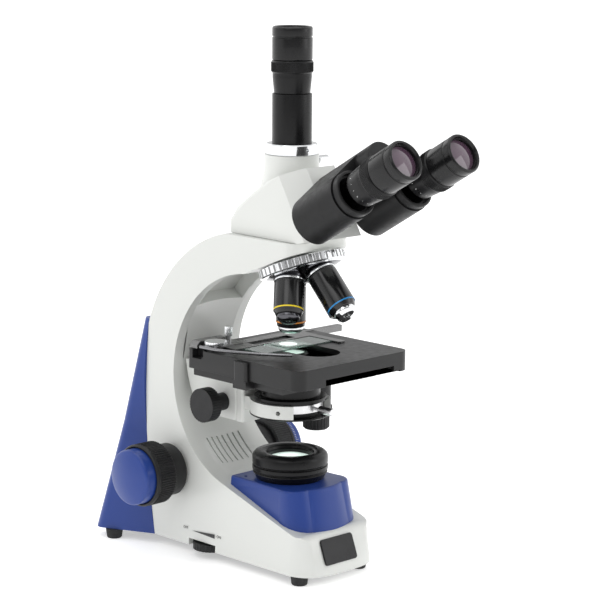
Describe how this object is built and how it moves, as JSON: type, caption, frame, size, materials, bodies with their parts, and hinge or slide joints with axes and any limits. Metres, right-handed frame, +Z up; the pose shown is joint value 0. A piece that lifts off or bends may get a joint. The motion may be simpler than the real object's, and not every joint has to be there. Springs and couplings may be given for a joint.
{
  "type": "trinocular microscope",
  "caption": "Upright trinocular laboratory microscope with turning nosepiece, mechanical stage, focusing condenser, inclined eyetubes and an upright photo port.",
  "frame": {"origin": "bottom centre of the whole microscope, on the table", "axes": "+Z up, -Y towards the user and the eyepieces, +X to the user's right"},
  "size_m": [0.189, 0.3436, 0.4473],
  "materials": {
    "stand_white": "satin white enamel",
    "cover_blue": "smooth blue",
    "stage_black": "fine matt black",
    "black_anodised": "black anodised, semi-gloss",
    "black_plastic": "moulded black",
    "knob_black": "ribbed black",
    "foot_rubber": "black",
    "chrome": "polished",
    "steel": "fine ground",
    "alu_bright": "satin",
    "brass": "machined",
    "glass": "polished optical glass",
    "slide_glass": "ground edges",
    "board": "green circuit board",
    "plate_steel": "zinc plated and painted black"
  },
  "bodies": {
    "stand": {"stand_casting": "stand_white", "rear_cover": "cover_blue", "lamp_cover": "cover_blue", "bottom_plate": "plate_steel", "feet": "foot_rubber", "foot_screws": "steel", "collector_ring": "black_anodised", "field_lens": "glass", "lamp_module": "alu_bright", "power_board": "board", "power_inlet": "black_plastic", "shaft_bushes": "alu_bright", "focus_guide": "steel", "nosepiece_seat": "black_anodised"},
    "dial": {"brightness_dial": "knob_black"},
    "tension": {"tension_collar": "knob_black"},
    "coarse": {"coarse_shaft": "steel", "coarse_knob_left": "knob_black", "coarse_knob_right": "knob_black"},
    "fine": {"fine_knob_left": "cover_blue", "fine_knob_right": "cover_blue"},
    "lift": {"focus_slide": "alu_bright", "stage_carriage": "stand_white", "stage_base": "stage_black"},
    "stage": {"stage_top": "stage_black", "xy_bracket": "stage_black"},
    "y_drive": {"y_knob": "knob_black"},
    "x_drive": {"x_knob": "knob_black"},
    "holder": {"holder_slider": "steel", "holder_screws": "chrome", "specimen_slide": "slide_glass"},
    "finger": {"spring_finger": "steel"},
    "condenser": {"condenser_carrier": "stand_white", "condenser_body": "black_anodised", "condenser_lens": "glass"},
    "condenser_drive": {"condenser_knob": "knob_black"},
    "iris": {"iris_ring": "alu_bright"},
    "nosepiece": {"turret": "chrome", "objective_lenses": "glass", "objective_4x": "black_anodised", "objective_10x": "black_anodised", "objective_40x": "black_anodised", "objective_100x": "black_anodised"},
    "lock": {"head_lock_screw": "knob_black"},
    "head": {"head_housing": "stand_white", "prism_block": "glass", "port_ring": "chrome", "photo_tube": "black_anodised", "photo_eyepiece": "black_plastic", "photo_eye_lens": "glass", "pivot_shaft": "steel"},
    "pull_rod": {"light_rod": "chrome"},
    "left_tube": {"left_eyetube": "black_anodised"},
    "right_tube": {"right_eyetube": "black_anodised"},
    "left_diopter": {"left_diopter_ring": "black_anodised", "left_eyepiece": "black_plastic", "left_eye_lens": "glass"},
    "right_diopter": {"right_diopter_ring": "black_anodised", "right_eyepiece": "black_plastic", "right_eye_lens": "glass"}
  },
  "joints": [
    {"name": "stage_lift", "type": "slide", "parent": "stand", "child": "lift", "axis": [0, 0, 1], "range_m": [-0.017, 0.005]},
    {"name": "coarse_turn", "type": "hinge", "parent": "stand", "child": "coarse", "pos_m": [0, 0.09341, 0.0705], "axis": [1, 0, 0], "range_deg": [-171, 51]},
    {"name": "fine_turn", "type": "hinge", "parent": "stand", "child": "fine", "pos_m": [0, 0.09341, 0.0705], "axis": [1, 0, 0], "continuous": true},
    {"name": "tension_turn", "type": "hinge", "parent": "stand", "child": "tension", "pos_m": [-0.05, 0.09341, 0.0705], "axis": [1, 0, 0], "range_deg": [-60, 60]},
    {"name": "dial_turn", "type": "hinge", "parent": "stand", "child": "dial", "pos_m": [-0.0315, 0.05482, 0.009], "axis": [0, 0, 1], "range_deg": [-135, 135]},
    {"name": "stage_cross", "type": "slide", "parent": "lift", "child": "stage", "axis": [0, 1, 0], "range_m": [-0.008, 0.033]},
    {"name": "y_drive_turn", "type": "hinge", "parent": "stage", "child": "y_drive", "pos_m": [0.05, 0.01282, 0.13], "axis": [0, 0, 1], "range_deg": [-84.3, 344.8]},
    {"name": "holder_slide", "type": "slide", "parent": "stage", "child": "holder", "axis": [1, 0, 0], "range_m": [-0.035, 0.015]},
    {"name": "x_drive_turn", "type": "hinge", "parent": "stage", "child": "x_drive", "pos_m": [0.05, 0.01282, 0.11], "axis": [0, 0, 1], "range_deg": [-157.3, 365.6]},
    {"name": "finger_turn", "type": "hinge", "parent": "holder", "child": "finger", "pos_m": [-0.053, 0.02582, 0.188], "axis": [0, 0, 1], "range_deg": [-14, 4], "stiffness_Nm_per_rad": 0.02},
    {"name": "condenser_slide", "type": "slide", "parent": "lift", "child": "condenser", "axis": [0, 0, 1], "range_m": [-0.013, 0.002]},
    {"name": "condenser_turn", "type": "hinge", "parent": "lift", "child": "condenser_drive", "pos_m": [0, 0.04732, 0.134], "axis": [1, 0, 0], "range_deg": [-26.5, 166.5]},
    {"name": "iris_turn", "type": "hinge", "parent": "condenser", "child": "iris", "pos_m": [0, -0.00719, 0.137], "axis": [0, 0, 1], "range_deg": [-25, 25]},
    {"name": "nosepiece_turn", "type": "hinge", "parent": "stand", "child": "nosepiece", "pos_m": [0, -0.00719, 0.2868], "axis": [0, -0.3746, -0.9272], "continuous": true},
    {"name": "head_turn", "type": "hinge", "parent": "stand", "child": "head", "pos_m": [0, -0.00719, 0.2775], "axis": [0, 0, 1], "continuous": true},
    {"name": "lock_turn", "type": "hinge", "parent": "stand", "child": "lock", "pos_m": [0.03, -0.00519, 0.2715], "axis": [1, 0, 0], "range_deg": [-180, 180]},
    {"name": "rod_pull", "type": "slide", "parent": "head", "child": "pull_rod", "axis": [1, 0, 0], "range_m": [0, 0.012]},
    {"name": "left_swing", "type": "hinge", "parent": "head", "child": "left_tube", "pos_m": [0, -0.11111, 0.3484], "axis": [0, -0.866, 0.5], "range_deg": [-21.2, 13.1]},
    {"name": "right_swing", "type": "hinge", "parent": "head", "child": "right_tube", "pos_m": [0, -0.11111, 0.3484], "axis": [0, -0.866, 0.5], "range_deg": [-13.2, 21.3]},
    {"name": "left_diopter_turn", "type": "hinge", "parent": "left_tube", "child": "left_diopter", "pos_m": [-0.03274, -0.12075, 0.3317], "axis": [0, -0.866, 0.5], "range_deg": [-135, 135]},
    {"name": "right_diopter_turn", "type": "hinge", "parent": "right_tube", "child": "right_diopter", "pos_m": [0.03274, -0.12075, 0.3317], "axis": [0, -0.866, 0.5], "range_deg": [-135, 135]}
  ],
  "couplings": [
    {"joint": "coarse_turn", "follows": "stage_lift", "rad_per_m": 174.52},
    {"joint": "y_drive_turn", "follows": "stage_cross", "rad_per_m": 181.82},
    {"joint": "x_drive_turn", "follows": "holder_slide", "rad_per_m": -181.82},
    {"joint": "condenser_turn", "follows": "condenser_slide", "rad_per_m": -222.22},
    {"joint": "right_swing", "follows": "left_swing", "ratio": -1}
  ]
}
